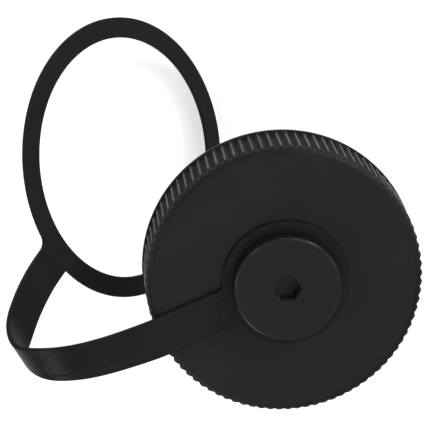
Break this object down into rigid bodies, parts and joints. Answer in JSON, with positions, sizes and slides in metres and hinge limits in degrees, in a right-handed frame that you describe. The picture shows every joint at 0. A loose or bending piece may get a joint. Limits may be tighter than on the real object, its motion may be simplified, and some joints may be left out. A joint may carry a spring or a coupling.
{
  "type": "tethered screw cap",
  "caption": "Knurled screw cap for a wide-mouth neck, with a round hex-socket button that holds a flexible strap ending in a flat neck ring.",
  "frame": {"origin": "centre of the cap's open rim, on the axis of the neck that it closes", "axes": "+Z along the cap's axis, from the open rim to the button; the strap leaves the button towards -X"},
  "size_m": [0.1055, 0.0929, 0.0795],
  "materials": {
    "cap_plastic": "moulded matte black polypropylene",
    "button_plastic": "moulded matte black polypropylene",
    "nut_plastic": "moulded black nylon",
    "tether_plastic": "flexible matte black moulded plastic",
    "seal_rubber": "smooth dark grey sealing rubber"
  },
  "bodies": {
    "cap": {"cap_shell": "cap_plastic", "neck_gasket": "seal_rubber", "hub_seal": "seal_rubber", "hub_button": "button_plastic", "hub_nut": "nut_plastic"},
    "arm": {"tether_arm": "tether_plastic", "tether_bend": "tether_plastic"},
    "ring": {"tether_ring": "tether_plastic"}
  },
  "joints": [
    {"name": "tether_swivel", "type": "hinge", "parent": "cap", "child": "arm", "pos_m": [0, 0, 0.017], "axis": [0, 0, 1], "continuous": true},
    {"name": "strap_flex", "type": "hinge", "parent": "arm", "child": "ring", "pos_m": [-0.0669, -0.0156, 0.0141], "axis": [-0.193, 0.7411, 0.6431], "range_deg": [-8, 100], "stiffness_Nm_per_rad": 0.03, "deforming": ["tether_bend"]}
  ]
}
